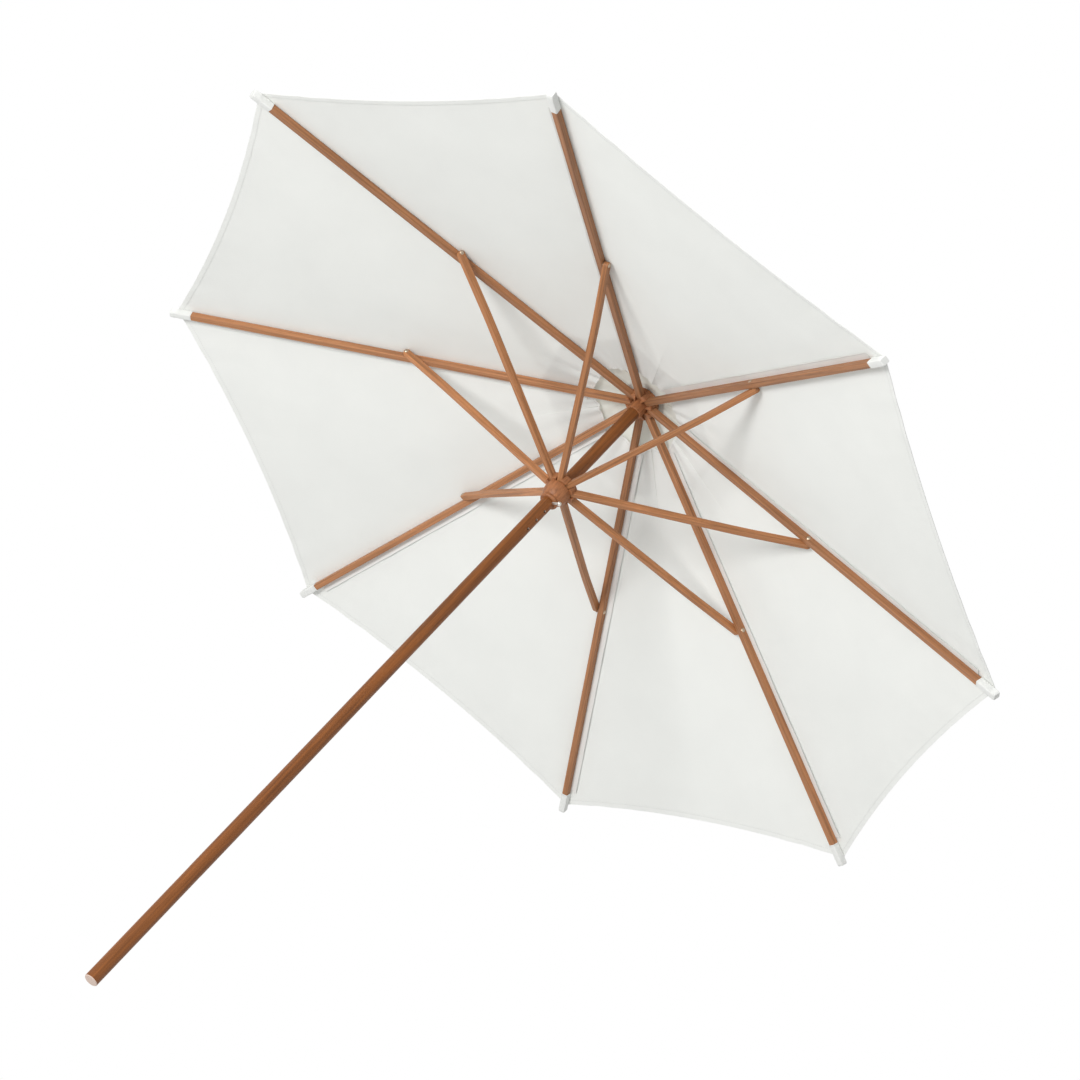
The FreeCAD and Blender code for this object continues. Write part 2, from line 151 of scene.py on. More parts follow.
class UmbrellaStage(bpy.types.PropertyGroup):
    """Camera and light"""
    lens: bpy.props.FloatProperty(
        name="Lens", description="Focal length on a 36 mm sensor, in mm", default=105.2)
    roll: bpy.props.FloatProperty(
        name="Roll", description="Turn of the camera about its view", default=math.radians(43.44),
        subtype="ANGLE")
    floor_glow: amount("Floor", 0.27, "How much white the camera sees on the floor besides its lit paper")
    fill: amount("Fill", 0.6, "Strength of the even light all round")
    key: amount("Key", 390.0, "Power of the large soft lamp, in watts")


def linear(hex_colour):
    """An sRGB hex colour as linear RGBA."""
    channels = [int(hex_colour[i:i + 2], 16) / 255 for i in (1, 3, 5)]
    return tuple(c / 12.92 if c <= 0.04045 else ((c + 0.055) / 1.055) ** 2.4 for c in channels) + (1.0,)


def shade(hex_colour, factor):
    """A darker or lighter version of a hex colour, as linear RGBA."""
    return tuple(min(1.0, c * factor) for c in linear(hex_colour)[:3]) + (1.0,)


def add(tree, kind, sockets=None, **settings):
    """Adds a node. settings are its properties; sockets gives its inputs values or links."""
    made = tree.nodes.new(kind)
    for name, value in settings.items():
        setattr(made, name, value)
    for name, value in (sockets or {}).items():
        if isinstance(value, bpy.types.NodeSocket):
            tree.links.new(value, made.inputs[name])
        else:
            made.inputs[name].default_value = value
    return made


def blank(name):
    """A new material with only its output node."""
    material = bpy.data.materials.new(name)
    material.use_nodes = True
    material.node_tree.nodes.clear()
    output = material.node_tree.nodes.new("ShaderNodeOutputMaterial")
    return material, material.node_tree, output


def along_rib(tree, tilt):
    """Coordinates that turn every rib or strut on to the first and lay its length along X, and the
    number of the rib."""
    place = add(tree, "ShaderNodeTexCoord").outputs["Object"]
    parts = add(tree, "ShaderNodeSeparateXYZ", {0: place})
    azimuth = add(tree, "ShaderNodeMath", {0: parts.outputs["Y"], 1: parts.outputs["X"]},
                  operation="ARCTAN2").outputs[0]
    turns = add(tree, "ShaderNodeMath", {0: azimuth, 1: 2 * HALF_STEP}, operation="DIVIDE").outputs[0]
    number = add(tree, "ShaderNodeMath", {0: turns}, operation="ROUND").outputs[0]
    back = add(tree, "ShaderNodeMath", {0: number, 1: -2 * HALF_STEP}, operation="MULTIPLY").outputs[0]
    first = add(tree, "ShaderNodeVectorRotate", {"Vector": place, "Angle": back}, rotation_type="Z_AXIS")
    level = add(tree, "ShaderNodeVectorRotate", {"Vector": first.outputs[0], "Angle": tilt},
                rotation_type="Y_AXIS")
    return level.outputs[0], number


def wood(name, base, grain_axis, tilt=None, ends=None):
    """Oiled tropical hardwood, planed or turned. It shows long fibres, soft colour bands, short dark
    open pores and a satin sheen. grain_axis is 0 or 2. Ribs and struts have a tilt, and each has its
    own tone. ends is the colour of a sawn foot that took no oil."""
    look = bpy.context.scene.umbrella_wood
    material, tree, output = blank(name)
    if tilt is None:
        place = log = add(tree, "ShaderNodeTexCoord").outputs["Object"]
    else:
        place, number = along_rib(tree, tilt)
        shift = add(tree, "ShaderNodeCombineXYZ", {"X": number, "Y": number, "Z": number}).outputs[0]
        log = add(tree, "ShaderNodeVectorMath", {0: shift, 1: place}, operation="ADD").outputs[0]

    def stretched(width, length):
        """Coordinates in which the grain runs this wide and this long."""
        scale = [1 / width] * 3
        scale[grain_axis] = 1 / length
        return add(tree, "ShaderNodeMapping", {"Vector": log, "Scale": scale}).outputs[0]

    bands = add(tree, "ShaderNodeTexNoise",
                {"Vector": stretched(look.band, look.band * 45), "Scale": 1.0, "Detail": 3.0,
                 "Roughness": 0.55, "Distortion": 0.4})
    fibres = add(tree, "ShaderNodeTexNoise",
                 {"Vector": stretched(look.fibre, look.fibre * 70), "Scale": 1.0, "Detail": 4.0,
                  "Roughness": 0.7})
    pores = add(tree, "ShaderNodeTexNoise",
                {"Vector": stretched(look.pore / 12, look.pore), "Scale": 1.0, "Detail": 1.0})
    band_colour = add(tree, "ShaderNodeValToRGB", {"Fac": bands.outputs["Fac"]})
    ramp = band_colour.color_ramp
    ramp.elements[0].position = 0.28
    ramp.elements[0].color = shade(base, 0.62)
    ramp.elements[1].position = 0.74
    ramp.elements[1].color = shade(base, 1.32)
    ramp.elements.new(0.5).color = linear(base)
    fibre_tone = add(tree, "ShaderNodeMapRange",
                     {"Value": fibres.outputs["Fac"], "From Min": 0.3, "From Max": 0.7, "To Min": 0.78,
                      "To Max": 1.14}).outputs[0]
    pore_tone = add(tree, "ShaderNodeMapRange",
                    {"Value": pores.outputs["Fac"], "From Min": 0.69, "From Max": 0.77, "To Min": 1.0,
                     "To Max": 0.6}).outputs[0]
    tone = add(tree, "ShaderNodeMath", {0: fibre_tone, 1: pore_tone}, operation="MULTIPLY").outputs[0]
    if tilt is not None:
        own = add(tree, "ShaderNodeTexWhiteNoise", {"W": number}, noise_dimensions="1D").outputs["Value"]
        own_tone = add(tree, "ShaderNodeMapRange", {"Value": own, "To Min": 0.84, "To Max": 1.16})
        tone = add(tree, "ShaderNodeMath", {0: tone, 1: own_tone.outputs[0]},
                   operation="MULTIPLY").outputs[0]
    toned = add(tree, "ShaderNodeVectorMath", {0: band_colour.outputs["Color"], "Scale": tone},
                operation="SCALE").outputs[0]
    if ends:
        facing = add(tree, "ShaderNodeSeparateXYZ",
                     {0: add(tree, "ShaderNodeNewGeometry").outputs["True Normal"]}).outputs["Z"]
        cut = add(tree, "ShaderNodeMath", {0: facing, 1: -0.6}, operation="LESS_THAN").outputs[0]
        rings = add(tree, "ShaderNodeTexWave",
                    {"Vector": place, "Scale": WAVE / look.ring, "Distortion": 3.0, "Detail": 2.0,
                     "Detail Scale": 0.3}, wave_type="RINGS", rings_direction="Z").outputs["Fac"]
        ringed = add(tree, "ShaderNodeMapRange",
                     {"Value": rings, "To Min": 0.86, "To Max": 1.04}).outputs[0]
        sawn = add(tree, "ShaderNodeVectorMath", {0: linear(ends)[:3], "Scale": ringed},
                   operation="SCALE").outputs[0]
        # The walls of the pin holes are darkened to nearly black: painted shade inside the holes.
        flat_place = add(tree, "ShaderNodeVectorMath", {0: place, 1: (1, 1, 0)}, operation="MULTIPLY")
        off_axis = add(tree, "ShaderNodeVectorMath", {0: flat_place.outputs[0]}, operation="LENGTH")
        hole_shade = add(tree, "ShaderNodeMapRange",
                    {"Value": off_axis.outputs["Value"], "From Min": POLE_RADIUS - 1.0 * MM,
                     "From Max": POLE_RADIUS - 0.6 * MM, "To Min": 0.12, "To Max": 1.0}).outputs[0]
        toned = add(tree, "ShaderNodeVectorMath", {0: toned, "Scale": hole_shade}, operation="SCALE").outputs[0]
        toned = add(tree, "ShaderNodeMix", {"Factor": cut, "A": toned, "B": sawn},
                    data_type="VECTOR").outputs[1]
    relief = add(tree, "ShaderNodeBump",
                 {"Height": tone, "Strength": 0.25, "Distance": 0.3 * MM}).outputs[0]
    surface = add(tree, "ShaderNodeBsdfPrincipled",
                  {"Base Color": toned, "Roughness": 0.5, "Normal": relief, "Specular IOR Level": 0.32,
                   "Coat Weight": 0.04, "Coat Roughness": 0.35})
    tree.links.new(surface.outputs[0], output.inputs["Surface"])
    return material


def zinc(name, base):
    """Zinc-plated steel, turned. It reads as pale metal with a fine ringed haze."""
    material, tree, output = blank(name)
    place = add(tree, "ShaderNodeTexCoord").outputs["Object"]
    haze = add(tree, "ShaderNodeTexNoise", {"Vector": place, "Scale": 700.0, "Detail": 3.0})
    blotch = add(tree, "ShaderNodeTexNoise", {"Vector": place, "Scale": 90.0, "Detail": 2.0})
    rough = add(tree, "ShaderNodeMapRange",
                {"Value": blotch.outputs["Fac"], "To Min": 0.22, "To Max": 0.42}).outputs[0]
    relief = add(tree, "ShaderNodeBump",
                 {"Height": haze.outputs["Fac"], "Strength": 0.12, "Distance": 0.1 * MM}).outputs[0]
    surface = add(tree, "ShaderNodeBsdfPrincipled",
                  {"Base Color": linear(base), "Metallic": 1.0, "Roughness": rough, "Normal": relief})
    tree.links.new(surface.outputs[0], output.inputs["Surface"])
    return material


def cloth(name, base, let_through, hem, vent_hem):
    """Woven polyester canvas, white and matt. It shows a fine weave, faint clouding, light that comes
    through from the other side, doubled hems that let less through, and a line of stitches."""
    look = bpy.context.scene.umbrella_cloth
    material, tree, output = blank(name)
    lay = add(tree, "ShaderNodeUVMap", uv_map="lay").outputs[0]
    rims = add(tree, "ShaderNodeSeparateXYZ", {0: add(tree, "ShaderNodeUVMap", uv_map="rims").outputs[0]})
    across = add(tree, "ShaderNodeSeparateXYZ", {0: lay})
    weave = [add(tree, "ShaderNodeTexWave",
                 {"Vector": lay, "Scale": WAVE / look.thread, "Distortion": 0.0},
                 wave_type="BANDS", bands_direction=axis).outputs["Fac"] for axis in ("X", "Y")]
    woven = add(tree, "ShaderNodeMath", {0: weave[0], 1: weave[1]}, operation="MAXIMUM").outputs[0]
    clouds = add(tree, "ShaderNodeTexNoise", {"Vector": lay, "Scale": 5.0, "Detail": 4.0})
    lengthened = add(tree, "ShaderNodeMapping", {"Vector": lay, "Scale": (14.0, 3.0, 1.0)})
    creases = add(tree, "ShaderNodeTexNoise",
                  {"Vector": lengthened.outputs[0], "Scale": 1.0, "Detail": 2.0, "Distortion": 0.6})

    def strip(distance, width):
        """1 inside the width of a hem, 0 past it, with a soft step."""
        return add(tree, "ShaderNodeMapRange",
                   {"Value": distance, "From Min": width, "From Max": width - 0.8 * MM}).outputs[0]

    def stitches(distance, seat, run):
        """Short dents that follow a hem, this far from its edge."""
        off = add(tree, "ShaderNodeMath", {0: distance, 1: seat}, operation="SUBTRACT").outputs[0]
        near = add(tree, "ShaderNodeMath", {0: off}, operation="ABSOLUTE").outputs[0]
        line = add(tree, "ShaderNodeMapRange",
                   {"Value": near, "From Min": 0.4 * MM, "From Max": 1.1 * MM, "To Min": 1.0,
                    "To Max": 0.0}).outputs[0]
        beat = add(tree, "ShaderNodeMath", {0: run, 1: math.tau / look.stitch},
                   operation="MULTIPLY").outputs[0]
        wave = add(tree, "ShaderNodeMath", {0: beat}, operation="SINE").outputs[0]
        dash = add(tree, "ShaderNodeMapRange", {"Value": wave, "From Min": -0.5, "From Max": 0.2})
        return add(tree, "ShaderNodeMath", {0: line, 1: dash.outputs[0]}, operation="MULTIPLY").outputs[0]

    to_rim, to_vent, run = rims.outputs["X"], rims.outputs["Y"], across.outputs["X"]
    inset = 2 * MM
    doubled = add(tree, "ShaderNodeMath", {0: strip(to_rim, hem), 1: strip(to_vent, vent_hem)},
                  operation="MAXIMUM").outputs[0]
    sewn = add(tree, "ShaderNodeMath",
               {0: stitches(to_rim, hem - inset, run), 1: stitches(to_vent, vent_hem - inset, run)},
               operation="MAXIMUM").outputs[0]
    cloudy = add(tree, "ShaderNodeMapRange",
                 {"Value": clouds.outputs["Fac"], "From Min": 0.3, "From Max": 0.7, "To Min": 0.975,
                  "To Max": 1.0}).outputs[0]
    # Faint clouding of the cloth, and painted shade that darkens the stitch dents by 12 percent.
    cloud_and_stitch_shade = add(tree, "ShaderNodeMath", {0: sewn, 1: -0.12, 2: cloudy},
                 operation="MULTIPLY_ADD").outputs[0]
    tinted = add(tree, "ShaderNodeVectorMath", {0: linear(base)[:3], "Scale": cloud_and_stitch_shade},
                 operation="SCALE").outputs[0]
    weave_relief = add(tree, "ShaderNodeBump", {"Height": woven, "Strength": 0.12, "Distance": 0.15 * MM})
    crease_relief = add(tree, "ShaderNodeBump",
                        {"Height": creases.outputs["Fac"], "Strength": 0.35, "Distance": 3 * MM,
                         "Normal": weave_relief.outputs[0]})
    raised = add(tree, "ShaderNodeMath", {0: sewn, 1: -0.8, 2: doubled},
                 operation="MULTIPLY_ADD").outputs[0]
    relief = add(tree, "ShaderNodeBump",
                 {"Height": raised, "Strength": 0.8, "Distance": 0.6 * MM,
                  "Normal": crease_relief.outputs[0]}).outputs[0]
    front = add(tree, "ShaderNodeBsdfPrincipled",
                {"Base Color": tinted, "Roughness": 0.88, "Sheen Weight": 0.15, "Sheen Roughness": 0.5,
                 "Specular IOR Level": 0.25, "Normal": relief})
    through = add(tree, "ShaderNodeBsdfTranslucent", {"Color": tinted, "Normal": relief})
    share = add(tree, "ShaderNodeMapRange",
                {"Value": doubled, "To Min": let_through, "To Max": let_through * 0.85}).outputs[0]
    both = add(tree, "ShaderNodeMixShader", {"Fac": share, 1: front.outputs[0], 2: through.outputs[0]})
    tree.links.new(both.outputs[0], output.inputs["Surface"])
    return material


def dress(names, material):
    """Gives CAD nodes a finish."""
    for name in names:
        node = NODES[name]
        node.data.materials.clear()
        node.data.materials.append(material)


def numbered(base):
    """The names of a piece that every rib has."""
    return [f"{base}_{index + 1}" for index in range(RIBS)]


def sheet_mesh(name, rows, lay, rims, thickness):
    """A closed thin sheet. rows are its lower points, row by row; lay and rims give each point's two
    pairs of surface lengths, and thickness how far its upper point stands above it."""
    count, width = len(rows), len(rows[0])
    lower = [point for row in rows for point in row]
    upper = [point + Vector((0, 0, thickness[i // width][i % width])) for i, point in enumerate(lower)]
    offset = len(lower)

    def at(row, column, top=False):
        """The number of a point."""
        return row * width + column + (offset if top else 0)

    faces = []
    for i in range(count - 1):
        for j in range(width - 1):
            faces.append((at(i, j), at(i, j + 1), at(i + 1, j + 1), at(i + 1, j)))
            faces.append((at(i, j, True), at(i + 1, j, True), at(i + 1, j + 1, True), at(i, j + 1, True)))
    border = [(0, j) for j in range(width)] + [(i, width - 1) for i in range(1, count)]
    border += [(count - 1, j) for j in range(width - 2, -1, -1)] + [(i, 0) for i in range(count - 2, 0, -1)]
    for one, two in zip(border, border[1:] + border[:1]):
        faces.append((at(*two), at(*one), at(*one, True), at(*two, True)))
    mesh = bpy.data.meshes.new(name)
    mesh.from_pydata([tuple(p) for p in lower + upper], [], faces)
    for layer_name, values in (("lay", lay), ("rims", rims)):
        flat = [pair for row in values for pair in row]
        layer = mesh.uv_layers.new(name=layer_name)
        for loop in mesh.loops:
            layer.data[loop.index].uv = flat[loop.vertex_index % offset]
    mesh.validate()
    mesh.polygons.foreach_set("use_smooth", [True] * len(mesh.polygons))
    mesh.set_sharp_from_angle(angle=math.radians(45))
    return mesh


def facet_height(distance, above):
    """Height of a plane of the cloth: distance is taken over a rib, above is over the pivots' line."""
    return PIVOT.z + above / math.cos(SLOPE) - (distance - PIVOT.x) * math.tan(SLOPE)


def soft_step(x):
    """0 up to 0, 1 from 1, and a soft rise between."""
    x = min(max(x, 0.0), 1.0)
    return x * x * (3 - 2 * x)


def rounded(lateral, radius):
    """The distance across a rib that counts for the cloth's fall, which starts softly."""
    return math.sqrt(lateral ** 2 + radius ** 2) - radius


def edge_curve(corner, sag, share):
    """A point of a gore's hollow edge in plan, from a rib (share 0) to midway (share 1)."""
    half_chord = corner * math.sin(HALF_STEP)
    curve = (half_chord ** 2 + sag ** 2) / (2 * sag)
    along = half_chord * (1 - share)
    hollow = sag - (curve - math.sqrt(curve ** 2 - along ** 2))
    inwards = Vector((math.sin(HALF_STEP), -math.cos(HALF_STEP), 0))
    return MIDWAY * (corner * math.cos(HALF_STEP) - hollow) + inwards * along


def canopy_height(plan, run, share, index, side):
    """Height of the canopy's lower face: rounded over the rib, hollow between ribs, with small
    wrinkles at the vent and by the tips. run goes from the vent to the edge, share from rib to middle."""
    look = bpy.context.scene.umbrella_cloth
    gather, gather_waves, gather_fade = 3.4 * MM, 9, 9
    pull, pull_waves, pull_fade = 1.2 * MM, 30, 14
    lateral = rounded(plan.y, look.over_rib)
    z = facet_height(plan.x + lateral * math.tan(HALF_STEP), look.ridge)
    bay = math.sin(math.pi * share / 2) ** 2
    z -= look.belly * bay * math.sin(math.pi * min(1.0, run * 1.05)) ** 0.8
    gore = index if side > 0 else (index - 1) % RIBS
    phase = 1.7 * gore
    at_vent = math.exp(-run * gather_fade)
    z += gather * bay * at_vent * math.sin(gather_waves * share * side + phase)
    at_tip = math.exp(-(1 - run) * pull_fade) * soft_step(share * 4) * (1 - soft_step((share - 0.25) * 2))
    return z + pull * at_tip * math.sin(pull_waves * share + phase)


def spread(length, count, first, last):
    """Row places along a length: the first and last ones, given from each end, and even ones between."""
    low, high = first[-1], length - last[-1]
    inner = [low + (high - low) * i / count for i in range(1, count)]
    return [*first, *inner, *(length - d for d in reversed(last))]


def half_gore(inner, outer, height, hems, columns, rows, thickness):
    """Points of half a gore on the +Y side of rib 1. inner and outer give the plan point of a column,
    height a point's height, and hems the widths of the outer and inner hems."""
    look = bpy.context.scene.umbrella_cloth
    hem, vent_hem = hems
    closer_to_rib = 1.45
    places, lay, rims, thick = [], [], [], []
    shares = [(j / columns) ** closer_to_rib for j in range(columns + 1)]
    for step in range(len(rows(1.0))):
        line, lay_line, rim_line, thick_line = [], [], [], []
        for share in shares:
            start, end = inner(share), outer(share)
            length = (end - start).length
            run = rows(length)[step]
            plan = start.lerp(end, run / length)
            to_rim, to_vent = length - run, run
            hemmed = max(soft_step((hem - to_rim) / MM), soft_step((vent_hem - to_vent) / MM))
            extra = look.hem_extra * hemmed
            low = height(plan, run / length, share) - extra / 2
            line.append(Vector((plan.x, plan.y, low)))
            lay_line.append((plan.y, plan.x / math.cos(SLOPE)))
            rim_line.append((to_rim, to_vent))
            thick_line.append(thickness + extra)
        places.append(line)
        lay.append(lay_line)
        rims.append(rim_line)
        thick.append(thick_line)
    return places, lay, rims, thick


def turned_to(point, index, side):
    """A point of rib 1's +Y half, mirrored for the other side and turned to its own rib."""
    flipped = Vector((point.x, point.y * side, point.z))
    return Matrix.Rotation(2 * HALF_STEP * index, 4, "Z") @ flipped


def pleat(piece):
    """Gives a rib's cloth its own copy of its mesh."""
    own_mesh(piece)


def piece_of(mesh, finish, body, stands_for=None):
    """Makes a cloth piece of its mesh. It rides on a body, and may stand for a CAD node."""
    piece = bpy.data.objects.new(mesh.name, mesh)
    bpy.context.collection.objects.link(piece)
    mesh.materials.append(finish)
    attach(piece, body)
    if stands_for:
        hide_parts(stands_for)
    return piece


def hang_halves(base, node_base, build, finish):
    """Makes both halves of every rib's cloth. Each rides on its rib."""
    for index in range(RIBS):
        rib = f"rib_{index + 1}"
        for side, word in ((1, "left"), (-1, "right")):
            places, lay, rims, thick = build(index, side)
            if side > 0:
                rows = [[turned_to(p, index, side) for p in row] for row in places]
            else:
                rows = [[turned_to(p, index, side) for p in reversed(row)] for row in places]
                lay, rims, thick = ([list(reversed(row)) for row in grid] for grid in (lay, rims, thick))
            mesh = sheet_mesh(f"{base}_{index + 1}_{word}", rows, lay, rims, thick)
            piece = piece_of(mesh, finish, rib, f"{node_base}_{index + 1}")
            pleat(piece)


class UMBRELLA_OT_wood(bpy.types.Operator):
    """Gives the pole, ribs, struts and turned parts their oiled hardwood"""
    bl_idname = "umbrella.wood"
    bl_label = "Wooden Parts"

    def execute(self, context):
        look = context.scene.umbrella_wood
        ribs = wood("hardwood_planed_rib", look.rib_colour, 0, tilt=-SLOPE)
        struts = wood("hardwood_planed_strut", look.strut_colour, 0, tilt=SLOPE)
        pole = wood("hardwood_turned_pole", look.pole_colour, 2, ends=look.end_colour)
        turned = wood("hardwood_turned_knob", look.turned_colour, 2)
        dress(numbered("rib"), ribs)
        dress(numbered("strut"), struts)
        dress(["pole"], pole)
        dress(["hub", "runner", "finial", "crown_spacer", "hub_dowel"], turned)
        return {"FINISHED"}


class UMBRELLA_OT_metal(bpy.types.Operator):
    """Gives the pins, rivets and stud their zinc plating"""
    bl_idname = "umbrella.metal"
    bl_label = "Metal Parts"

    def execute(self, context):
        bright = zinc("zinc_plated_steel", "#D9D7D0")
        dull = zinc("zinc_plated_steel_weathered", "#C0AE99")
        dress(["hub_pins", "runner_pins", "locking_pin", "finial_stud"], bright)
        dress(numbered("joint_rivet"), dull)
        return {"FINISHED"}


class UMBRELLA_OT_canopy(bpy.types.Operator):
    """Stretches the white canopy over the ribs, with its hems and vent"""
    bl_idname = "umbrella.canopy"
    bl_label = "Canopy"

    def execute(self, context):
        look = context.scene.umbrella_cloth
        corner = PIVOT.x + look.reach * math.cos(SLOPE)
        finish = cloth("polyester_woven_canopy", look.canopy_colour, 0.2, look.hem, look.vent_hem)

        def inner(share):
            """The vent's edge, from a rib to midway."""
            at_rib = Vector((look.vent_corner, 0, 0))
            bow = 2 * MM * math.sin(math.pi * share)
            return at_rib.lerp(MIDWAY * look.vent_middle, share) + MIDWAY * bow

        def outer(share):
            """The canopy's rim, from a rib to midway."""
            return edge_curve(corner, look.sag, share)

        def rows(length):
            """Close rows at both hems, even ones between."""
            at_vent = (0, 2 * MM, look.vent_hem, look.vent_hem + 2 * MM)
            at_rim = (0, 2 * MM, look.hem, look.hem + 2 * MM)
            return spread(length, 44, at_vent, at_rim)

        def build(index, side):
            """Half a gore of the canopy."""
            def height(plan, run, share):
                return canopy_height(plan, run, share, index, side)
            return half_gore(inner, outer, height, (look.hem, look.vent_hem), 22, rows, look.thickness)

        hang_halves("canopy", "canopy_panel", build, finish)
        return {"FINISHED"}


class UMBRELLA_OT_seam_flaps(bpy.types.Operator):
    """Leaves the free edge of a seam hanging beside every rib, under the canopy"""
    bl_idname = "umbrella.seam_flaps"
    bl_label = "Seam Flaps"

    def execute(self, context):
        look = context.scene.umbrella_cloth
        finish = cloth("polyester_woven_flap", look.canopy_colour, 0.1, 4 * MM, 0.0)
        corner = PIVOT.x + look.reach * math.cos(SLOPE)
        start = look.vent_corner + look.vent_hem + 3 * MM
        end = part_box("tip_pocket_1")[0].x - 4 * MM
        by_rib, wall, clear, side = 6 * MM, 0.8 * MM, 0.3 * MM, -1
        lengths, widths = 90, 6
        for index in range(RIBS):
            rib = f"rib_{index + 1}"
            rows, lay, rims, thick = [], [], [], []
            for step in range(lengths + 1):
                x = start + (end - start) * step / lengths
                run = (x - look.vent_corner) / (corner - look.vent_corner)
                row, lay_row, rim_row = [], [], []
                for column in range(widths, -1, -1):
                    out = column / widths
                    y = by_rib + look.flap * out
                    plan = Vector((x, y, 0))
                    low = canopy_height(plan, run, y / (x * math.tan(HALF_STEP)), index, side)
                    sway = 0.25 * math.sin(23 * x + 2 * index) + 0.15 * math.sin(61 * x + index)
                    drop = look.flap_drop * (1 + sway) * out ** 1.4
                    under = low - look.hem_extra - clear - wall - drop
                    row.append(turned_to(Vector((x, y, under)), index, side))
                    lay_row.append((y, x / math.cos(SLOPE)))
                    rim_row.append((look.flap * (1 - out), look.flap))
                rows.append(row)
                lay.append(lay_row)
                rims.append(rim_row)
                thick.append([wall] * (widths + 1))
            mesh = sheet_mesh(f"seam_flap_{index + 1}", rows, lay, rims, thick)
            flap = piece_of(mesh, finish, rib)
            pleat(flap)
        return {"FINISHED"}


class UMBRELLA_OT_vent_cap(bpy.types.Operator):
    """Makes the cap over the vent, from the hub down on to the canopy"""
    bl_idname = "umbrella.vent_cap"
    bl_label = "Vent Cap"

    def execute(self, context):
        look = context.scene.umbrella_cloth
        low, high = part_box("cap_panel_1")
        reach = high.x - 1 * MM
        start = low.x / math.cos(HALF_STEP) + 1 * MM
        rim = HUB_RADIUS + 3 * MM
        clear = 0.4 * MM
        hem, rim_hollow, sway_by, hollow = 10 * MM, 4 * MM, 2.0 * MM, 2 * MM
        finish = cloth("polyester_woven_cap", look.cap_colour, 0.35, hem, 0.0)
        foot = facet_height(reach, look.ridge + look.thickness + look.hem_extra + clear)
        head = HUB_TOP + clear
        turn = 8 * MM
        slant = reach - rim - turn

        def inner(share):
            """The cap's edge under the crown patch."""
            return Vector((start, 0, 0)).lerp(MIDWAY * start, share)

        def outer(share):
            """The cap's rim, from a rib to midway."""
            return edge_curve(reach, rim_hollow, share)

        def rows(length):
            """Close rows at both edges, even ones between."""
            return spread(length, 20, (0, 2 * MM), (0, 2 * MM, hem, hem + 2 * MM))

        def build(index, side):
            """Half a gore of the cap: flat on the hub, then falling to the canopy."""
            def height(plan, run, share):
                distance = plan.x + rounded(plan.y, look.over_rib / 2) * math.tan(HALF_STEP)
                past = max(0.0, distance - rim)
                softened = past - turn * (1 - math.exp(-past / turn))
                bay = math.sin(math.pi * share / 2) ** 2
                sway = sway_by * bay * math.sin(math.pi * run) * math.sin(5 * share * side + 2.1 * index)
                return head - (head - foot) / slant * softened - sway - hollow * bay * run
            return half_gore(inner, outer, height, (hem, 0.0), 12, rows, look.thickness)

        hang_halves("vent_cap", "cap_panel", build, finish)
        return {"FINISHED"}


class UMBRELLA_OT_crown_patch(bpy.types.Operator):
    """Makes the stitched round patch that the finial clamps over the cap"""
    bl_idname = "umbrella.crown_patch"
    bl_label = "Crown Patch"

    def execute(self, context):
        look = context.scene.umbrella_cloth
        low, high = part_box("crown_patch")
        edge = (high.x - low.x) / 2
        top = high.z - look.thickness
        hole = 5 * MM
        around = 96
        finish = cloth("polyester_woven_patch", look.cap_colour, 0.2, 7 * MM, 0.0)
        places, lay, rims, thick = [], [], [], []
        for run in (0, 0.15, 0.35, 0.55, 0.68, 0.78, 0.86, 0.92, 0.96, 0.985, 1.0):
            radius = hole + (edge - hole) * run
            drop = (top - low.z) * soft_step((run - 0.6) / 0.4) ** 1.2
            line, lay_line, rim_line = [], [], []
            for step in range(around + 1):
                angle = math.tau * step / around
                ripple = 0.5 * MM * run ** 4 * math.sin(RIBS * angle)
                height = top - drop + ripple
                line.append(Vector((radius * math.cos(angle), radius * math.sin(angle), height)))
                lay_line.append((radius * angle, radius))
                rim_line.append((edge - radius, radius))
            places.append(line)
            lay.append(lay_line)
            rims.append(rim_line)
            thick.append([look.thickness] * (around + 1))
        mesh = sheet_mesh("crown_patch_sewn", places, lay, rims, thick)
        patch = piece_of(mesh, finish, "pole", "crown_patch")
        return {"FINISHED"}


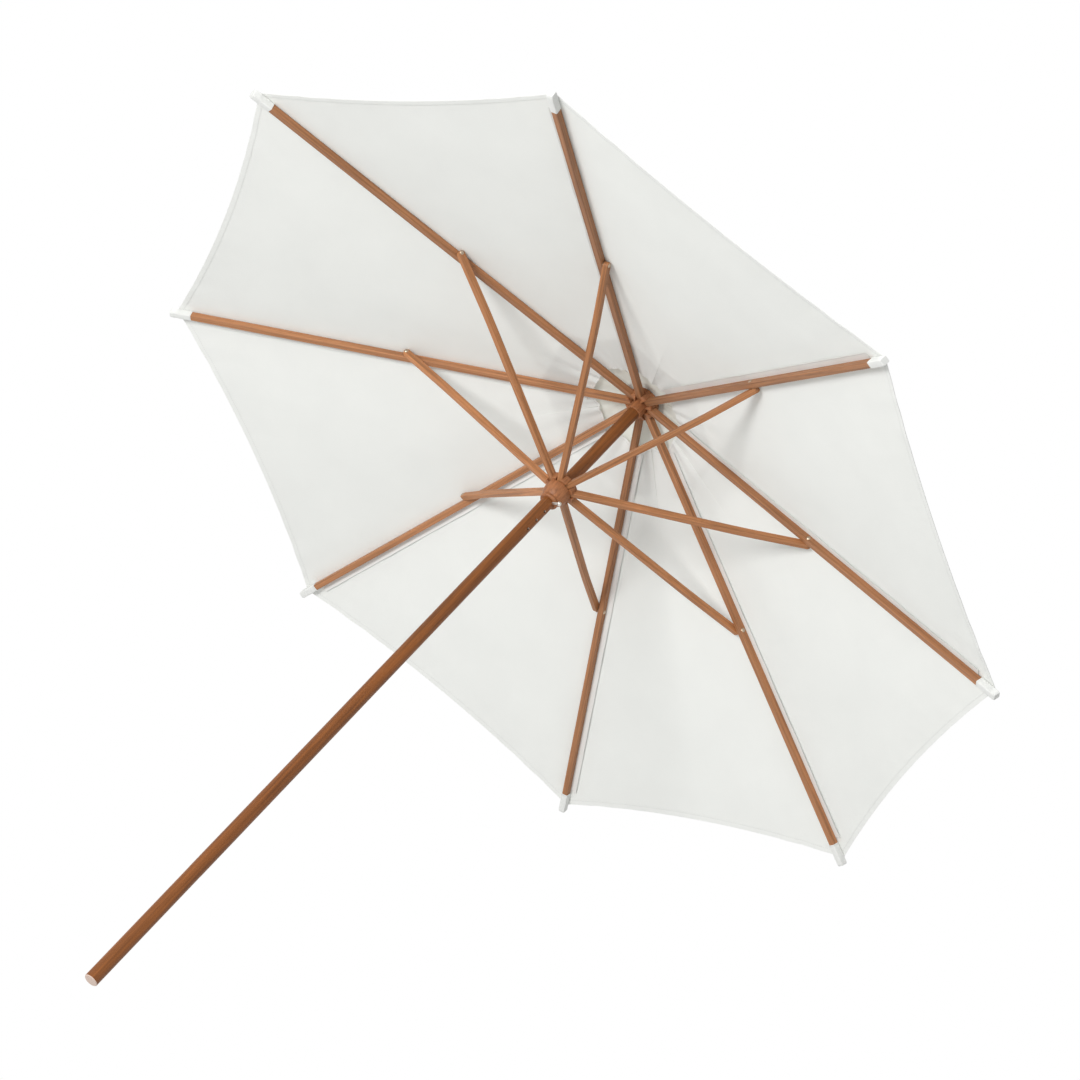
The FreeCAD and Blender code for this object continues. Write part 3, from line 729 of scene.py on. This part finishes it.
class UMBRELLA_OT_tip_pockets(bpy.types.Operator):
    """Sews a doubled cloth pocket over the end of every rib"""
    bl_idname = "umbrella.tip_pockets"
    bl_label = "Tip Pockets"

    def execute(self, context):
        look = context.scene.umbrella_cloth
        low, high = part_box("tip_pocket_1")
        half_width = (high.y - low.y) / 2
        half_depth = look.rib_depth / 2 + 1.3 * MM
        length = 66 * MM
        wall = 1.0 * MM
        corner = 3.2 * MM
        closing, drawn_in, pucker = 5 * MM, 1.6 * MM, 0.25 * MM
        finish = cloth("polyester_woven_pocket", look.canopy_colour, 0.15, 5 * MM, 0.0)
        stations = [0, 1.5, 4, 5.5, 12, 22, 32, 42, 50, 56, 60, 63, 64.6, 65.6, 66]
        outline = []
        for quarter, (sy, sz) in enumerate(((1, 1), (-1, 1), (-1, -1), (1, -1))):
            for step in range(5):
                angle = math.pi / 2 * (quarter + step / 4)
                outline.append((sy, sz, math.cos(angle), math.sin(angle)))
        for index in range(RIBS):
            rib = f"rib_{index + 1}"
            mesh = bpy.data.meshes.new(f"tip_pocket_sewn_{index + 1}")
            points, faces, sides = [], [], []
            loops = [(s * MM, 0.0) for s in stations] + [(s * MM, wall) for s in reversed(stations)]
            for place, inset in loops:
                at_end = soft_step((place - (length - closing)) / closing)
                shrink = inset + drawn_in * at_end
                bulge = pucker * math.sin(place * 190 + index) * (1 - at_end)
                forward = place - (inset if place > length / 2 else 0.0)
                for sy, sz, cy, cz in outline:
                    y = sy * (half_width - corner - shrink) + (corner + bulge) * cy
                    z = sz * (half_depth - corner - shrink) + (corner + bulge) * cz
                    point = Vector((RIB_TIP - length + forward, y, min(z, look.ridge - 0.5 * MM)))
                    points.append(point)
                    sides.append((place, y))
            ring = len(outline)
            count = len(loops)
            middle = len(stations) - 1
            for i in range(count - 1):
                if i == middle:
                    continue
                for j in range(ring):
                    k = (j + 1) % ring
                    faces.append((i * ring + j, i * ring + k, (i + 1) * ring + k, (i + 1) * ring + j))
            mouth = (count - 1) * ring
            faces += [(mouth + j, mouth + (j + 1) % ring, (j + 1) % ring, j) for j in range(ring)]
            faces.append(tuple(middle * ring + j for j in range(ring)))
            faces.append(tuple((middle + 1) * ring + j for j in reversed(range(ring))))
            tilt = Matrix.Rotation(SLOPE, 4, "Y")
            spin = Matrix.Rotation(2 * HALF_STEP * index, 4, "Z")
            placed = [spin @ (PIVOT + tilt @ p) for p in points]
            mesh.from_pydata([tuple(p) for p in placed], [], faces)
            for layer_name in ("lay", "rims"):
                layer = mesh.uv_layers.new(name=layer_name)
                for loop in mesh.loops:
                    place, y = sides[loop.vertex_index]
                    layer.data[loop.index].uv = (place, y) if layer_name == "lay" else (place, 1.0)
            mesh.polygons.foreach_set("use_smooth", [True] * len(mesh.polygons))
            mesh.set_sharp_from_angle(angle=math.radians(50))
            pocket = piece_of(mesh, finish, rib, f"tip_pocket_{index + 1}")
        return {"FINISHED"}


class UMBRELLA_OT_stage(bpy.types.Operator):
    """Sets the floor, the lamps, the world and the camera"""
    bl_idname = "umbrella.stage"
    bl_label = "Stage"

    def execute(self, context):
        look = context.scene.umbrella_stage
        scene = context.scene
        scene.view_settings.view_transform = "Standard"

        mesh = bpy.data.meshes.new("floor")
        half = 30.0
        mesh.from_pydata([(-half, -half, 0), (half, -half, 0), (half, half, 0), (-half, half, 0)], [],
                         [(0, 1, 2, 3)])
        floor = bpy.data.objects.new("floor", mesh)
        scene.collection.objects.link(floor)
        floor.location.z = CAD_BOX[0].z - 1 * MM
        # White seamless paper: seen from above it takes the shadow, from below it isn't there.
        material, tree, output = blank("paper_white_floor")
        paper = add(tree, "ShaderNodeBsdfDiffuse", {"Color": linear("#F2F2F2")})
        glow = add(tree, "ShaderNodeEmission", {"Color": (1, 1, 1, 1), "Strength": look.floor_glow})
        lit = add(tree, "ShaderNodeAddShader", {0: paper.outputs[0], 1: glow.outputs[0]})
        clear = add(tree, "ShaderNodeBsdfTransparent")
        path = add(tree, "ShaderNodeLightPath")
        under = add(tree, "ShaderNodeNewGeometry").outputs["Backfacing"]
        here = add(tree, "ShaderNodeMath", {0: path.outputs["Is Camera Ray"], 1: under},
                   operation="SUBTRACT")
        gone = add(tree, "ShaderNodeMath", {0: 1.0, 1: here.outputs[0]}, operation="SUBTRACT",
                   use_clamp=True)
        both = add(tree, "ShaderNodeMixShader",
                   {"Fac": gone.outputs[0], 1: lit.outputs[0], 2: clear.outputs[0]})
        tree.links.new(both.outputs[0], output.inputs["Surface"])
        mesh.materials.append(material)

        world = bpy.data.worlds.new("studio")
        scene.world = world
        world.use_nodes = True
        tree = world.node_tree
        tree.nodes.clear()
        path = add(tree, "ShaderNodeLightPath")
        seen = add(tree, "ShaderNodeMath",
                   {0: path.outputs["Is Camera Ray"], 1: path.outputs["Is Glossy Ray"]},
                   operation="MAXIMUM")
        seen = add(tree, "ShaderNodeMath",
                   {0: seen.outputs[0], 1: path.outputs["Is Transmission Ray"]}, operation="MAXIMUM")
        strength = add(tree, "ShaderNodeMapRange",
                       {"Value": seen.outputs[0], "To Min": look.fill, "To Max": 1.0}).outputs[0]
        back = add(tree, "ShaderNodeBackground", {"Color": (1, 1, 1, 1), "Strength": strength})
        out = add(tree, "ShaderNodeOutputWorld")
        tree.links.new(back.outputs[0], out.inputs["Surface"])

        # A large soft lamp from below the canopy, and a weaker one from above it.
        middle = Vector((0, 0, PIVOT.z - 0.2))
        lamps = (("key", Vector((-5.2, -3.4, -2.6)), 2.4, look.key),
                 ("top", Vector((-2.0, -1.5, 6.5)), 3.0, look.key * 0.3))
        for name, place, width, power in lamps:
            lamp = bpy.data.lights.new(name, "AREA")
            lamp.shape = "DISK"
            lamp.size = width
            lamp.energy = power
            holder = bpy.data.objects.new(name, lamp)
            holder.location = place
            holder.rotation_mode = "QUATERNION"
            holder.rotation_quaternion = (middle - place).to_track_quat("-Z", "Y")
            scene.collection.objects.link(holder)

        camera = bpy.data.objects.new("camera", bpy.data.cameras.new("camera"))
        scene.collection.objects.link(camera)
        camera.data.lens = look.lens
        camera.data.sensor_width = 36.0
        camera.data.clip_end = 100.0
        # It stands low, in front of the pole's foot, and looks up under the canopy.
        place = Vector((-1.821, -6.831, -3.115))
        target = Vector((0.0246, -0.1214, 1.767))
        camera.location = place
        camera.rotation_mode = "QUATERNION"
        level = (target - place).to_track_quat("-Z", "Y").to_matrix()
        camera.rotation_quaternion = (level @ Matrix.Rotation(look.roll, 3, "Z")).to_quaternion()
        scene.camera = camera
        return {"FINISHED"}


class UMBRELLA_PT_panel(bpy.types.Panel):
    """Lists the umbrella's pieces and their sizes"""
    bl_label = "Patio Umbrella"
    bl_idname = "UMBRELLA_PT_panel"
    bl_space_type = "VIEW_3D"
    bl_region_type = "UI"
    bl_category = "Umbrella"

    def draw(self, context):
        for operator in OPERATORS:
            self.layout.operator(operator.bl_idname)
        for name in GROUPS:
            group = getattr(context.scene, name)
            box = self.layout.box()
            for key in group.__annotations__:
                box.prop(group, key)


GROUPS = {
    "umbrella_cloth": UmbrellaCloth,
    "umbrella_wood": UmbrellaWood,
    "umbrella_stage": UmbrellaStage,
}
OPERATORS = (
    UMBRELLA_OT_wood,
    UMBRELLA_OT_metal,
    UMBRELLA_OT_canopy,
    UMBRELLA_OT_seam_flaps,
    UMBRELLA_OT_vent_cap,
    UMBRELLA_OT_crown_patch,
    UMBRELLA_OT_tip_pockets,
    UMBRELLA_OT_stage,
)


def register():
    """Adds the groups, operators and panel to Blender."""
    for kind in (*GROUPS.values(), *OPERATORS, UMBRELLA_PT_panel):
        bpy.utils.register_class(kind)
    for name, kind in GROUPS.items():
        setattr(bpy.types.Scene, name, bpy.props.PointerProperty(type=kind))


def unregister():
    """Takes them out again."""
    for name in GROUPS:
        delattr(bpy.types.Scene, name)
    for kind in (UMBRELLA_PT_panel, *reversed(OPERATORS), *reversed(list(GROUPS.values()))):
        bpy.utils.unregister_class(kind)


def main():
    """Dresses the umbrella."""
    register()
    for operator in OPERATORS:
        group, name = operator.bl_idname.split(".")
        getattr(getattr(bpy.ops, group), name)()


if __name__ == "__main__":
    main()
